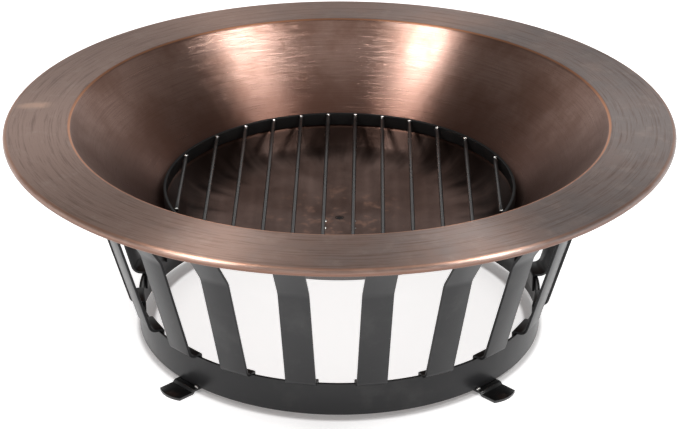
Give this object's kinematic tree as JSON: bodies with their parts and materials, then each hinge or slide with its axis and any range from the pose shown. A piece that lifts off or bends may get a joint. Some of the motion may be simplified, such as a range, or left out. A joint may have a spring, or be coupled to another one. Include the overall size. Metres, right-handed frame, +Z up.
{
  "type": "fire pit with grate",
  "caption": "Round copper fire bowl with a broad rim on a cradle of black steel straps, with a lift-out bar grate.",
  "frame": {"origin": "on the ground under the middle of the bowl", "axes": "+Z up, -Y is the front, the grate's bars run along Y"},
  "size_m": [1.0158, 1.0158, 0.349],
  "materials": {
    "copper": "antique copper, brushed round the axis",
    "base_black": "satin black powder coat",
    "grate_black": "satin black heat-proof paint",
    "bright_steel": "bright rivets and backing plate"
  },
  "bodies": {
    "base": {"base_ring": "base_black", "strap_01": "base_black", "strap_02": "base_black", "strap_03": "base_black", "strap_04": "base_black", "strap_05": "base_black", "strap_06": "base_black", "strap_07": "base_black", "strap_08": "base_black", "strap_09": "base_black", "strap_10": "base_black", "strap_11": "base_black", "strap_12": "base_black", "strap_13": "base_black", "strap_14": "base_black", "strap_15": "base_black", "strap_16": "base_black", "strap_17": "base_black", "strap_18": "base_black", "strap_19": "base_black", "strap_20": "base_black", "foot_1": "base_black", "foot_2": "base_black", "foot_3": "base_black", "foot_4": "base_black"},
    "bowl": {"bowl": "copper", "floor_plate": "bright_steel", "floor_rivet_1": "bright_steel", "floor_rivet_2": "bright_steel", "floor_rivet_3": "bright_steel", "floor_rivet_4": "bright_steel"},
    "grate": {"grate_hoop": "grate_black", "grate_bar_01": "grate_black", "grate_bar_02": "grate_black", "grate_bar_03": "grate_black", "grate_bar_04": "grate_black", "grate_bar_05": "grate_black", "grate_bar_06": "grate_black", "grate_bar_07": "grate_black", "grate_bar_08": "grate_black", "grate_bar_09": "grate_black", "grate_bar_10": "grate_black", "grate_bar_11": "grate_black", "grate_bar_12": "grate_black"}
  },
  "joints": [
    {"name": "bowl_lift", "type": "slide", "parent": "base", "child": "bowl", "axis": [0, 0, 1], "range_m": [0, 0.25]},
    {"name": "grate_lift", "type": "slide", "parent": "bowl", "child": "grate", "axis": [0, 0, 1], "range_m": [0, 0.2]}
  ]
}
